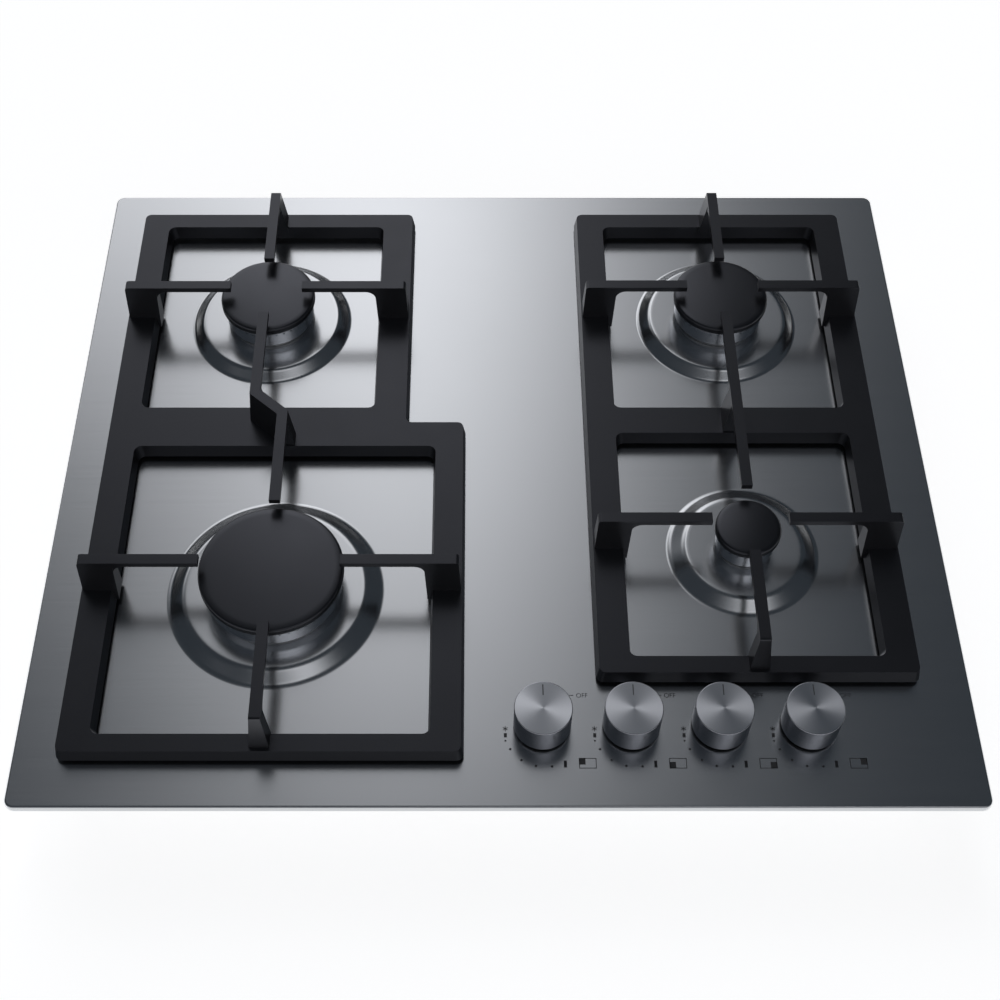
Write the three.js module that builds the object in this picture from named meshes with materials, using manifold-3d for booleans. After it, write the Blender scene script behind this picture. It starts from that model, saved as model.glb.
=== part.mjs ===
// A built-in gas cooktop with four burners, two cast-iron pan supports and four control knobs.
// Millimetres, +Z up, the knobs at the front (-Y). The origin is under the middle of the panel,
// at the underside of the tray.
import * as THREE from "three";
import { mergeVertices } from "three/addons/utils/BufferGeometryUtils.js";
import Module from "manifold-3d";

const wasm = await Module();
wasm.setup();

// ---- Driving dimensions ----

const GAP = 0.3; // left between pieces that touch

// Pressed steel panel
const PANEL_WIDTH = 580;
const PANEL_DEPTH = 500;
const PANEL_SHEET = 1;
const PANEL_CORNER_R = 6;
const PANEL_RIM_DROP = 4.6; // how far the edge is turned down
const PANEL_EDGE_ROUND = 1.2;
const PRESS_HEIGHT = 6; // the raised seat under each burner
const KNOB_HOLE_R = 6.5;

// Tray under the panel, and the seal under the panel's edge
const TRAY_HEIGHT = 53.7;
const TRAY_INSET = 24; // from the panel's edge to the tray's wall
const TRAY_SHEET = 1;
const TRAY_CORNER_R = 10;
const SEAL_WIDTH = 8;
const SEAL_DROP = 0.4; // how far the seal stands below the turned-down edge

// How far the burners stand off the middle of their windows: the back ones towards the back, the
// front ones towards the front, and the left ones towards the panel's middle
const BACK_LEFT_SHIFT = 2.4;
const BACK_RIGHT_SHIFT = 3;
const FRONT_LEFT_SHIFT = 0.8;
const FRONT_RIGHT_SHIFT = 1.4;
const BACK_LEFT_ASIDE = 1.9;
const FRONT_LEFT_ASIDE = 0.4;

// Burners: outer radius of the cap, width of the raised seat outside the cap, width of the slope
// round that seat, and the radius that the tips of the pan supports leave free
const RAPID_CAP_R = 45.5;
const RAPID_SEAT = 10.8;
const RAPID_FLANK = 13;
const RAPID_TIP_R = 43.8;
const MEDIUM_CAP_R = 33;
const MEDIUM_SEAT = 14.2;
const MEDIUM_FLANK = 10;
const MEDIUM_TIP_R = 25;
const SMALL_CAP_R = 21;
const SMALL_SEAT = 15.5;
const SMALL_FLANK = 13;
const SMALL_TIP_R = 24.2;
const RAPID_PORTS = 16;
const MEDIUM_PORTS = 12;
const SMALL_PORTS = 8;

const CAP_SIDE = 3; // height of the cap's edge
const CAP_ROUND = 2;
const CAP_CROWN = 1;
const CAP_SKIRT = 3; // depth of the ring under the cap
const HEAD_HEIGHT = 15.6;
const HEAD_WALL = 3;
const HEAD_INSET = 2.2; // from the cap's edge to the head's side
const HEAD_RIM_INSET = 0.9;
const HEAD_RIM = 1.3;
const HEAD_FLOOR = 2.3;
const HEAD_FOOT_INSET = 3; // the head's side draws in by this at its foot
const THROAT_R = 8; // bore of the tube under the head
const THROAT_WALL = 2;
const THROAT_LENGTH = 7;
const PORT_WIDTH = 1.4;
const PORT_HEIGHT = 2.4;
const PORT_TOP = 1.5; // from the top of the head to the ports
const CUP_FLANGE = 2.1;
const CUP_WALL = 2;
const CUP_DEPTH = 24; // below the panel's top
const CUP_INSET = 8; // from the cap's edge to the cup's wall
const JET_R = 4;
const JET_NUT_R = 6.5;
const JET_NUT = 5;
const JET_HEIGHT = 11;
const JET_BORE_R = 1.2;
const PLUG_R = 3;
const PLUG_OUT = 4.8; // from the cap's edge to the plug's axis
const PLUG_HEIGHT = 14; // ceramic above the panel's top
const PLUG_DEPTH = 18; // ceramic below it
const PLUG_TURN = 22; // degrees from straight behind the burner, away from the panel's middle
const PLUG_NOSE = 3; // height of the taper at its foot
const PLUG_SHOULDER = 2; // height of the taper under the pin
const PLUG_PIN_R = 0.9;
const PLUG_PIN = 5;

// Pan supports
const IRON_TOP = 40.5; // the fingers' top above the panel
const FRAME_TOP = 13;
const FRAME_THICK = 10;
const FRAME_DRAFT = 1.5; // how much further its walls stand out at the underside
const FRAME_CORNER_R = 4;
const WINDOW_CORNER_R = 5;
const SIDE_BAR = 18.9;
const LEFT_BACK_INNER_BAR = 21.4; // the left support's right-hand bar, at the back
const LEFT_FRONT_INNER_BAR = 18.4;
const BACK_BAR = 13;
const FRONT_BAR = 11.3;
const LEFT_MID_BAR = 32.5;
const RIGHT_MID_BAR = 21.5;
const BACK_WINDOW = 170;
const SUPPORT_LEFT_MARGIN = 28.7; // panel edge to the left support
const SUPPORT_RIGHT_MARGIN = 32.8;
const SUPPORT_BACK_MARGIN = 32;
const LEFT_FRONT_MARGIN = 30;
const RIGHT_FRONT_MARGIN = 82;
const LEFT_BACK_EDGE = 61; // from the panel's middle to the left support's right-hand edge
const LEFT_FRONT_EDGE = 22;
const RIGHT_EDGE = 62; // from the panel's middle to the right support
const STEP_DROP = 12.5; // the left support's step lies this far in front of the back window
const FINGER_WIDTH = 7;
const FINGER_THICK = 4;
const FINGER_END_ROUND = 2;
const LEG_SPREAD = 3.6; // how much wider a leg is at its foot, on each side
const LEG_SINK = 9.5; // how deep the leg's foot is let into the frame
const MID_LEG_DRAFT = 3;

// Legs under the fingers: how far the outer face leans in, the length at the top, how far the
// foot reaches in from the frame's edge, and the radius under the finger
const SIDE_LEG_DRAFT = 1.7;
const SIDE_LEG_LENGTH = 21.8;
const SIDE_LEG_FOOT = 22;
const SIDE_LEG_FILLET = 7;
const BACK_LEG_DRAFT = 4;
const BACK_LEG_LENGTH = 13;
const BACK_LEG_FOOT = 13.5;
const BACK_LEG_FILLET = 7;
const FRONT_LEG_DRAFT = 7;
const FRONT_LEG_LENGTH = 9;
const FRONT_LEG_FOOT = 11.5;
const FRONT_LEG_FILLET = 9;
const JOG_LENGTH = 17; // front to back length of the step in the left support's middle finger
const FOOT_R = 5;
const FOOT_STUD_R = 3;
const FOOT_STUD = 4.5;
const FOOT_INSET = 9; // from the frame's sides to the foot's axis
const FOOT_END_INSET = 5.7; // from its front and back edges

// Knobs and what turns under them
const KNOB_R = 17.4;
const KNOB_HEIGHT = 21;
const KNOB_LIFT = 2.6; // room under the knob for its push
const KNOB_BEVEL = 1.4;
const KNOB_WALL = 2;
const KNOB_TOP_THICK = 3.4;
const KNOB_BOSS_R = 6;
const KNOB_PITCH = 53.7;
const KNOB_RIGHT_MARGIN = 102.2;
const KNOB_FRONT_MARGIN = 53;
const MARK_WIDTH = 1;
const MARK_LENGTH = 7;
const MARK_DEPTH = 0.5;
const STEM_R = 3;
const STEM_FLAT = 2.2; // from the axis to the flat
const STEM_BELOW = 21.5; // from the panel's top to the stem's foot
const COLLAR_R = 9;
const COLLAR_THICK = 3.5;
const COLLAR_TRAVEL = 2;
const VALVE_WIDTH = 22;
const VALVE_HEIGHT = 20;
const VALVE_BUSH_R = 8;
const VALVE_BUSH = 4;
const VALVE_BORE = 12;
const VALVE_OUTLET_R = 5;
const VALVE_OUTLET = 6;
const RAIL_R = 7;
const RAIL_Z = 10.5;
const RAIL_BEND = 16;
const RAIL_RETURN_MARGIN = 62; // panel's right edge to the rail's run to the back
const RAIL_CLIMB = 60; // front to back length of its climb behind the panel's middle
const PIPE_R = 3.5;
const PIPE_LOW_Z = 12.5;
const PIPE_BEND = 12;
const PIPE_FALL = 45; // front to back length of a pipe's way down to the tray's floor
const PIPE_PASS = 45; // the back left pipe stays high this far past the front left burner's middle
const PIPE_ASIDE = 12; // the back right pipe passes the front burner this far out from its valve
const PIPE_TURN_LENGTH = 60; // the pipes to the back turn in towards their burners this far off
const INLET_NUT_R = 13;
const INLET_NUT = 16;
const INLET_THREAD_R = 10.4;
const INLET_BORE_R = 7.5;
const INLET_BORE = 18;
const INLET_LIFT = 2; // keeps the nut's corner clear of the tray's floor
const INLET_OUT = 3; // how far the inlet's end stays inside the panel's edge
const IGNITION_WIDTH = 90;
const IGNITION_DEPTH = 44;
const IGNITION_HEIGHT = 24;
const IGNITION_LUG = 6;
const IGNITION_BACK_MARGIN = 90; // panel's back edge to the middle of the box

// Clamps that hold the cooktop down in the worktop
const CLAMP_ARM = 40;
const CLAMP_WIDTH = 16;
const CLAMP_SHEET = 2.5;
const CLAMP_TIP = 6;
const CLAMP_LIFT = 1.5;
const CLAMP_PIVOT_IN = 12; // from the tray's wall
const CLAMP_END_MARGIN = 76; // from the tray's front and back walls
const CLAMP_POCKET = 13;
const CLAMP_ROOM = 3; // left free round the arm in its pocket
const CLAMP_SCREW_R = 2.5;

const ROUND = 32; // sides of a large round piece
const SMALL_ROUND = 10;
const PAST = 2; // a shape that cuts runs this far past the faces

// ---- Levels and places worked out from them ----

const PANEL_TOP = TRAY_HEIGHT + GAP + PANEL_SHEET;
const PANEL_UNDER = -PANEL_SHEET; // levels below are measured from the panel's top
const SEAT_Z = PRESS_HEIGHT;
const CUP_TOP = SEAT_Z + GAP + CUP_FLANGE;
const HEAD_FOOT = CUP_TOP + GAP;
const HEAD_TOP = HEAD_FOOT + HEAD_HEIGHT;
const CAP_FOOT = HEAD_TOP + GAP;
const FRAME_FOOT = FRAME_TOP - FRAME_THICK;
const FINGER_UNDER = IRON_TOP - FINGER_THICK;
const KNOB_Y = -PANEL_DEPTH / 2 + KNOB_FRONT_MARGIN;
const RAIL_TOP = RAIL_Z + RAIL_R + GAP;
const VALVE_TOP = RAIL_TOP + VALVE_HEIGHT;
const PIPE_START_Z = VALVE_TOP - VALVE_HEIGHT * 0.6;
const TRAY_X = PANEL_WIDTH / 2 - TRAY_INSET;
const TRAY_Y = PANEL_DEPTH / 2 - TRAY_INSET;
const CLAMP_Y = TRAY_Y - CLAMP_END_MARGIN;
const RAIL_RETURN_X = PANEL_WIDTH / 2 - RAIL_RETURN_MARGIN;
const INLET_Z = TRAY_SHEET + INLET_NUT_R + INLET_LIFT;
const INLET_END_Y = PANEL_DEPTH / 2 - INLET_OUT;
const INLET_NUT_Y = TRAY_Y - TRAY_SHEET - GAP - INLET_NUT / 2;
const RAIL_END_Y = INLET_NUT_Y - INLET_NUT / 2 - GAP;

const leftFrame = supportFrame(
  -PANEL_WIDTH / 2 + SUPPORT_LEFT_MARGIN, -LEFT_BACK_EDGE, -LEFT_FRONT_EDGE,
  LEFT_FRONT_MARGIN, LEFT_MID_BAR, LEFT_BACK_INNER_BAR, LEFT_FRONT_INNER_BAR,
);
const rightFrame = supportFrame(
  RIGHT_EDGE, PANEL_WIDTH / 2 - SUPPORT_RIGHT_MARGIN, PANEL_WIDTH / 2 - SUPPORT_RIGHT_MARGIN,
  RIGHT_FRONT_MARGIN, RIGHT_MID_BAR, SIDE_BAR, SIDE_BAR,
);

const burners = [
  burner("back_left", leftFrame.backWindow, [BACK_LEFT_ASIDE, BACK_LEFT_SHIFT],
    MEDIUM_CAP_R, MEDIUM_SEAT, MEDIUM_FLANK, MEDIUM_TIP_R, MEDIUM_PORTS),
  burner("front_left", leftFrame.frontWindow, [FRONT_LEFT_ASIDE, -FRONT_LEFT_SHIFT],
    RAPID_CAP_R, RAPID_SEAT, RAPID_FLANK, RAPID_TIP_R, RAPID_PORTS),
  burner("front_right", rightFrame.frontWindow, [0, -FRONT_RIGHT_SHIFT],
    SMALL_CAP_R, SMALL_SEAT, SMALL_FLANK, SMALL_TIP_R, SMALL_PORTS),
  burner("back_right", rightFrame.backWindow, [0, BACK_RIGHT_SHIFT],
    MEDIUM_CAP_R, MEDIUM_SEAT, MEDIUM_FLANK, MEDIUM_TIP_R, MEDIUM_PORTS),
];

// The outline of one support: x0 to x1 at the back, x0 to x2 at the front, and its two windows.
function supportFrame(x0, x1, x2, frontMargin, midBar, backInnerBar, frontInnerBar) {
  const y0 = -PANEL_DEPTH / 2 + frontMargin;
  const y1 = PANEL_DEPTH / 2 - SUPPORT_BACK_MARGIN;
  const backWindow = {
    x0: x0 + SIDE_BAR,
    x1: x1 - backInnerBar,
    y0: y1 - BACK_BAR - BACK_WINDOW,
    y1: y1 - BACK_BAR,
  };
  const frontWindow = {
    x0: x0 + SIDE_BAR,
    x1: x2 - frontInnerBar,
    y0: y0 + FRONT_BAR,
    y1: backWindow.y0 - midBar,
  };
  const stepY = backWindow.y0 - STEP_DROP;
  return { x0, x1, x2, y0, y1, stepY, backWindow, frontWindow };
}

// A burner stands near the middle of its window.
function burner(place, window, [aside, shift], capR, seat, flank, tipR, ports) {
  return {
    place, capR, tipR, ports,
    x: (window.x0 + window.x1) / 2 + aside,
    y: (window.y0 + window.y1) / 2 + shift,
    seatR: capR + seat,
    seatFootR: capR + seat + flank,
    headR: capR - HEAD_INSET,
    cupR: capR - CUP_INSET,
  };
}

// ---- Shape helpers ----

const DEG = Math.PI / 180;

// A closed mesh as a solid that can be joined and cut. Triangles that lost their area when the
// points on the axis were merged are dropped.
function solid(geometry) {
  const bare = new THREE.BufferGeometry();
  bare.setAttribute("position", geometry.getAttribute("position").clone());
  if (geometry.index) bare.setIndex(geometry.index.clone());
  const merged = mergeVertices(bare);
  const kept = [];
  const index = merged.index.array;
  for (let i = 0; i < index.length; i += 3) {
    const [a, b, c] = [index[i], index[i + 1], index[i + 2]];
    if (a !== b && b !== c && c !== a) kept.push(a, b, c);
  }
  const mesh = new wasm.Mesh({
    numProp: 3,
    vertProperties: new Float32Array(merged.getAttribute("position").array),
    triVerts: new Uint32Array(kept),
  });
  return new wasm.Manifold(mesh);
}

function geometryOf(body) {
  const mesh = body.getMesh();
  const geometry = new THREE.BufferGeometry();
  geometry.setAttribute("position", new THREE.BufferAttribute(mesh.vertProperties, 3));
  geometry.setIndex(new THREE.BufferAttribute(mesh.triVerts, 1));
  geometry.computeVertexNormals();
  return geometry;
}

function joined(geometries) {
  return geometries.map(solid).reduce((sum, piece) => sum.add(piece));
}

function cut(body, geometries) {
  return geometries.map(solid).reduce((rest, piece) => rest.subtract(piece), body);
}

function roundedRect(x0, x1, y0, y1, r) {
  const shape = new THREE.Shape();
  shape.moveTo(x0 + r, y0);
  shape.lineTo(x1 - r, y0);
  shape.absarc(x1 - r, y0 + r, r, -90 * DEG, 0, false);
  shape.lineTo(x1, y1 - r);
  shape.absarc(x1 - r, y1 - r, r, 0, 90 * DEG, false);
  shape.lineTo(x0 + r, y1);
  shape.absarc(x0 + r, y1 - r, r, 90 * DEG, 180 * DEG, false);
  shape.lineTo(x0, y0 + r);
  shape.absarc(x0 + r, y0 + r, r, 180 * DEG, 270 * DEG, false);
  return shape;
}

// A shape's outline as [x, y] points. Where a line and an arc meet, the point is kept once.
function outlinePoints(shape, divisions) {
  const points = shape.getPoints(divisions);
  const far = (p, i) => p.distanceTo(points[(i + 1) % points.length]) > 1e-6;
  return points.filter(far).map((p) => [p.x, p.y]);
}

function prism(shape, z0, z1, curveSegments = 4) {
  const geometry = new THREE.ExtrudeGeometry(shape, {
    depth: z1 - z0,
    bevelEnabled: false,
    curveSegments,
  });
  return geometry.translate(0, 0, z0);
}

function box(x0, x1, y0, y1, z0, z1) {
  const geometry = new THREE.BoxGeometry(x1 - x0, y1 - y0, z1 - z0);
  return geometry.translate((x0 + x1) / 2, (y0 + y1) / 2, (z0 + z1) / 2);
}

function rod(x, y, r, z0, z1, sides = SMALL_ROUND) {
  const geometry = new THREE.CylinderGeometry(r, r, z1 - z0, sides);
  return geometry.rotateX(90 * DEG).translate(x, y, (z0 + z1) / 2);
}

// A profile of [radius, z] points, run anticlockwise, turned round the Z axis.
function turned(profile, sides = ROUND) {
  const closed = [...profile, profile[0]];
  const points = closed.map(([r, z]) => new THREE.Vector2(r, z));
  return new THREE.LatheGeometry(points, sides).rotateX(90 * DEG);
}

// A closed body through level outlines that have the same number of points.
function loft(levels) {
  const count = levels[0].points.length;
  const positions = levels.flatMap(({ points, z }) => points.flatMap(([x, y]) => [x, y, z]));
  const index = [];
  for (let level = 0; level + 1 < levels.length; level++) {
    for (let i = 0; i < count; i++) {
      const a = level * count + i;
      const b = level * count + ((i + 1) % count);
      index.push(a, b, b + count, a, b + count, a + count);
    }
  }
  const flat = levels[0].points.map(([x, y]) => new THREE.Vector2(x, y));
  const last = (levels.length - 1) * count;
  for (const [a, b, c] of THREE.ShapeUtils.triangulateShape(flat, [])) {
    index.push(a, c, b, last + a, last + b, last + c);
  }
  const geometry = new THREE.BufferGeometry();
  geometry.setAttribute("position", new THREE.Float32BufferAttribute(positions, 3));
  geometry.setIndex(index);
  return geometry;
}

function rectPoints(x0, x1, y0, y1) {
  return [[x0, y0], [x1, y0], [x1, y1], [x0, y1]];
}

// A route of straight runs and rounded corners. Its rings stand only at the ends of each straight
// run and close together in the bends.
const RINGS_PER_BEND = 3;
class Route extends THREE.Curve {
  constructor(corners, bend) {
    super();
    const points = corners.map(([x, y, z]) => new THREE.Vector3(x, y, z));
    this.pieces = [];
    let from = points[0];
    for (let i = 1; i + 1 < points.length; i++) {
      const back = points[i - 1].clone().sub(points[i]);
      const ahead = points[i + 1].clone().sub(points[i]);
      const room = Math.min(bend, back.length() * 0.45, ahead.length() * 0.45);
      const start = points[i].clone().addScaledVector(back.normalize(), room);
      const end = points[i].clone().addScaledVector(ahead.normalize(), room);
      this.pieces.push({ curve: new THREE.LineCurve3(from, start), rings: 1 });
      this.pieces.push({
        curve: new THREE.QuadraticBezierCurve3(start, points[i], end),
        rings: RINGS_PER_BEND,
      });
      from = end;
    }
    this.pieces.push({ curve: new THREE.LineCurve3(from, points.at(-1)), rings: 1 });
    this.rings = this.pieces.reduce((sum, piece) => sum + piece.rings, 0);
  }
  getPoint(t, target = new THREE.Vector3()) {
    let at = Math.min(Math.max(t, 0), 1) * this.rings;
    for (const { curve, rings } of this.pieces) {
      if (at <= rings) return target.copy(curve.getPoint(at / rings));
      at -= rings;
    }
    return target.copy(this.pieces.at(-1).curve.getPoint(1));
  }
  getPointAt(u, target) {
    return this.getPoint(u, target);
  }
  getTangentAt(u, target) {
    return this.getTangent(u, target);
  }
}

function tube(corners, r, bend, sides = 8) {
  const route = new Route(corners, bend);
  const section = new THREE.Shape();
  for (let i = 0; i < sides; i++) {
    const angle = (i / sides) * 360 * DEG;
    const point = [r * Math.cos(angle), r * Math.sin(angle)];
    if (i === 0) section.moveTo(...point);
    else section.lineTo(...point);
  }
  return new THREE.ExtrudeGeometry(section, { steps: route.rings, extrudePath: route });
}

// ---- Materials ----

const metal = (color, roughness, metalness = 1) =>
  new THREE.MeshStandardMaterial({ color, roughness, metalness });
const steel = metal(0xb9babd, 0.34);
const galvanised = metal(0x9a9da0, 0.5);
const castIron = metal(0x3b3b3f, 0.72, 0.3);
const enamel = metal(0x2f2f33, 0.5, 0.1);
const castAluminium = metal(0xb4b4b6, 0.42);
const knobMetal = metal(0x9b9ca0, 0.3);
const brass = metal(0xb08d4a, 0.35);
const ceramic = metal(0xe9e6de, 0.4, 0);
const rubber = metal(0x1b1b1d, 0.85, 0);
const plastic = metal(0x26282b, 0.6, 0);

const group = new THREE.Group();

function place(name, body, material, x = 0, y = 0, z = 0) {
  const geometry = body.isBufferGeometry ? geometryOf(solid(body)) : geometryOf(body);
  const mesh = new THREE.Mesh(geometry, material);
  mesh.name = name;
  mesh.position.set(x, y, z);
  group.add(mesh);
}

// ---- Panel, seal and tray ----

// The raised seat: a sheet ring that climbs a soft slope from the panel to the flat top.
function pressedSeat(b) {
  const foot = b.seatFootR;
  const slope = [[1, 0], [0.8, 0.12], [0.2, 0.88], [0, 1]].map(([out, up]) =>
    [b.seatR + (foot - b.seatR) * out, PRESS_HEIGHT * up]);
  const top = [...slope, [b.cupR + GAP, PRESS_HEIGHT]];
  const under = top.map(([r, z]) => [r, z - PANEL_SHEET]).reverse();
  return turned([...under, [foot, 0], ...slope.slice(1), [b.cupR + GAP, PRESS_HEIGHT]], ROUND);
}

function panel() {
  const [w, d] = [PANEL_WIDTH / 2, PANEL_DEPTH / 2];
  const outline = (inset) => outlinePoints(
    roundedRect(-w + inset, w - inset, -d + inset, d - inset, PANEL_CORNER_R - inset), 4);
  const shell = loft([
    { points: outline(0), z: -PANEL_RIM_DROP },
    { points: outline(0), z: -PANEL_EDGE_ROUND },
    { points: outline(PANEL_EDGE_ROUND * 0.3), z: -PANEL_EDGE_ROUND * 0.3 },
    { points: outline(PANEL_EDGE_ROUND), z: 0 },
  ]);
  const inside = prism(
    roundedRect(-w + PANEL_SHEET, w - PANEL_SHEET, -d + PANEL_SHEET, d - PANEL_SHEET,
      PANEL_CORNER_R - PANEL_SHEET),
    -PANEL_RIM_DROP - 1, PANEL_UNDER);
  let body = cut(solid(shell), [inside]);
  for (const b of burners) {
    body = body.subtract(solid(rod(b.x, b.y, b.seatFootR - 0.5, -PAST, PAST, ROUND)));
    body = body.add(solid(pressedSeat(b).translate(b.x, b.y, 0)));
    const [px, py] = plugPlace(b);
    body = body.subtract(
      solid(rod(b.x + px, b.y + py, PLUG_R + GAP, -PAST, SEAT_Z + PAST)));
  }
  for (const x of knobXs()) {
    body = body.subtract(solid(rod(x, KNOB_Y, KNOB_HOLE_R, -PANEL_SHEET - PAST, PAST, 20)));
  }
  return body;
}

function ring(inset, width, z0, z1) {
  const [w, d] = [PANEL_WIDTH / 2 - inset, PANEL_DEPTH / 2 - inset];
  const outer = roundedRect(-w, w, -d, d, PANEL_CORNER_R);
  outer.holes.push(roundedRect(-w + width, w - width, -d + width, d - width, 2));
  return prism(outer, z0, z1);
}

// The four clamp pivots, each with the way its arm points out and along the side.
function clampPlaces() {
  const x = TRAY_X - CLAMP_PIVOT_IN;
  return [
    { name: "back_left", x: -x, y: CLAMP_Y, out: -1, along: 1 },
    { name: "front_left", x: -x, y: -CLAMP_Y, out: -1, along: -1 },
    { name: "back_right", x, y: CLAMP_Y, out: 1, along: 1 },
    { name: "front_right", x, y: -CLAMP_Y, out: 1, along: -1 },
  ];
}

function between(a, b) {
  return a < b ? [a, b] : [b, a];
}

// The room that a clamp's arm sweeps under the tray, open below and at the tray's side. It is made
// with its wall to be joined, and without it but past the faces to be cut.
function clampPocket(c, wall, past) {
  const half = CLAMP_WIDTH / 2 + CLAMP_ROOM + wall;
  const [x0, x1] = between(c.x - c.out * half, c.out * (TRAY_X + past));
  const [y0, y1] = between(c.y - c.along * half, c.y + c.along * (CLAMP_ARM + CLAMP_ROOM + wall));
  return box(x0, x1, y0, y1, -past, CLAMP_POCKET + wall);
}

function tray() {
  const shell = prism(roundedRect(-TRAY_X, TRAY_X, -TRAY_Y, TRAY_Y, TRAY_CORNER_R), 0, TRAY_HEIGHT);
  const hollow = prism(
    roundedRect(-TRAY_X + TRAY_SHEET, TRAY_X - TRAY_SHEET, -TRAY_Y + TRAY_SHEET,
      TRAY_Y - TRAY_SHEET, TRAY_CORNER_R - TRAY_SHEET),
    TRAY_SHEET, TRAY_HEIGHT + 1);
  let body = cut(solid(shell), [hollow]);
  for (const c of clampPlaces()) {
    body = body.add(solid(clampPocket(c, TRAY_SHEET, 0)));
    body = body.subtract(solid(clampPocket(c, 0, PAST)));
  }
  const through = 2 * (TRAY_SHEET + PAST);
  const inlet = new THREE.CylinderGeometry(INLET_THREAD_R + 1, INLET_THREAD_R + 1, through, 20);
  return cut(body, [inlet.translate(RAIL_RETURN_X, TRAY_Y, INLET_Z)]);
}
place("top_panel", panel(), steel, 0, 0, PANEL_TOP);
place("panel_seal",
  ring(PANEL_SHEET + GAP, SEAL_WIDTH, PANEL_TOP - PANEL_RIM_DROP - SEAL_DROP,
    PANEL_TOP + PANEL_UNDER - GAP), rubber);
place("bottom_tray", tray(), galvanised);

// ---- Burners ----

function plugPlace(b) {
  const angle = (90 - Math.sign(b.x) * PLUG_TURN) * DEG;
  const r = b.capR + PLUG_OUT;
  return [r * Math.cos(angle), r * Math.sin(angle)];
}

function burnerCap(b) {
  const skirtR = b.headR - HEAD_WALL - GAP;
  const foot = CAP_FOOT;
  return turned([
    [0, foot],
    [skirtR - 2, foot],
    [skirtR - 2, foot - CAP_SKIRT],
    [skirtR, foot - CAP_SKIRT],
    [skirtR, foot],
    [b.capR, foot],
    [b.capR, foot + CAP_SIDE],
    [b.capR - CAP_ROUND, foot + CAP_SIDE + CAP_ROUND],
    [0, foot + CAP_SIDE + CAP_ROUND + CAP_CROWN],
  ]);
}

// The flame spreader: a ring wall with a row of ports, a floor, and the tube down into the cup.
function burnerHead(b) {
  const inner = b.headR - HEAD_WALL;
  const floor = HEAD_FOOT + HEAD_FLOOR;
  const ring = turned([
    [THROAT_R, HEAD_FOOT - THROAT_LENGTH],
    [THROAT_R + THROAT_WALL, HEAD_FOOT - THROAT_LENGTH],
    [THROAT_R + THROAT_WALL, HEAD_FOOT],
    [b.headR - HEAD_FOOT_INSET, HEAD_FOOT],
    [b.headR, floor],
    [b.headR, HEAD_TOP - HEAD_RIM],
    [b.capR - HEAD_RIM_INSET, HEAD_TOP - HEAD_RIM],
    [b.capR - HEAD_RIM_INSET, HEAD_TOP],
    [inner, HEAD_TOP],
    [inner, floor],
    [THROAT_R, floor],
  ]);
  const ports = [];
  for (let i = 0; i < b.ports; i++) {
    const port = new THREE.BoxGeometry(HEAD_WALL * 3, PORT_WIDTH, PORT_HEIGHT);
    port.translate(b.headR - HEAD_WALL / 2, 0, HEAD_TOP - PORT_TOP - PORT_HEIGHT / 2);
    ports.push(port.rotateZ(((i + 0.5) / b.ports) * 360 * DEG));
  }
  return cut(solid(ring), ports);
}

function burnerCup(b) {
  const floor = -CUP_DEPTH;
  return turned([
    [JET_R + GAP, floor],
    [b.cupR, floor],
    [b.cupR, SEAT_Z + GAP],
    [b.headR - HEAD_FOOT_INSET, SEAT_Z + GAP],
    [b.headR - HEAD_FOOT_INSET, CUP_TOP],
    [b.cupR - CUP_WALL, CUP_TOP],
    [b.cupR - CUP_WALL, floor + CUP_WALL],
    [JET_R + GAP, floor + CUP_WALL],
  ]);
}

// The gas jet screws up through the cup's floor; its nut is below.
function gasJet() {
  const nut = new THREE.CylinderGeometry(JET_NUT_R, JET_NUT_R, JET_NUT, 6).rotateX(90 * DEG);
  const nutTop = -CUP_DEPTH - GAP;
  const body = joined([
    nut.translate(0, 0, nutTop - JET_NUT / 2),
    rod(0, 0, JET_R, nutTop - 1, nutTop + JET_HEIGHT),
  ]);
  return cut(body, [rod(0, 0, JET_BORE_R, nutTop + JET_HEIGHT / 2, nutTop + JET_HEIGHT + 1, 8)]);
}

function sparkPlug() {
  return turned([
    [0, -PLUG_DEPTH],
    [PLUG_R * 0.7, -PLUG_DEPTH],
    [PLUG_R, -PLUG_DEPTH + PLUG_NOSE],
    [PLUG_R, PLUG_HEIGHT - PLUG_SHOULDER],
    [PLUG_R * 0.6, PLUG_HEIGHT],
    [PLUG_PIN_R, PLUG_HEIGHT],
    [PLUG_PIN_R, PLUG_HEIGHT + PLUG_PIN],
    [0, PLUG_HEIGHT + PLUG_PIN],
  ], SMALL_ROUND);
}

for (const b of burners) {
  const [px, py] = plugPlace(b);
  place("burner_cap_" + b.place, burnerCap(b), enamel, b.x, b.y, PANEL_TOP);
  place("burner_head_" + b.place, burnerHead(b), castAluminium, b.x, b.y, PANEL_TOP);
  place("burner_cup_" + b.place, burnerCup(b), castAluminium, b.x, b.y, PANEL_TOP);
  place("gas_jet_" + b.place, gasJet(), brass, b.x, b.y, PANEL_TOP);
  place("spark_plug_" + b.place, sparkPlug(), ceramic, b.x + px, b.y + py, PANEL_TOP);
}

// ---- Pan supports ----

const SIDE_LEG = {
  draft: SIDE_LEG_DRAFT, length: SIDE_LEG_LENGTH, foot: SIDE_LEG_FOOT, fillet: SIDE_LEG_FILLET,
};
const BACK_LEG = {
  draft: BACK_LEG_DRAFT, length: BACK_LEG_LENGTH, foot: BACK_LEG_FOOT, fillet: BACK_LEG_FILLET,
};
const FRONT_LEG = {
  draft: FRONT_LEG_DRAFT, length: FRONT_LEG_LENGTH, foot: FRONT_LEG_FOOT, fillet: FRONT_LEG_FILLET,
};

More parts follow.
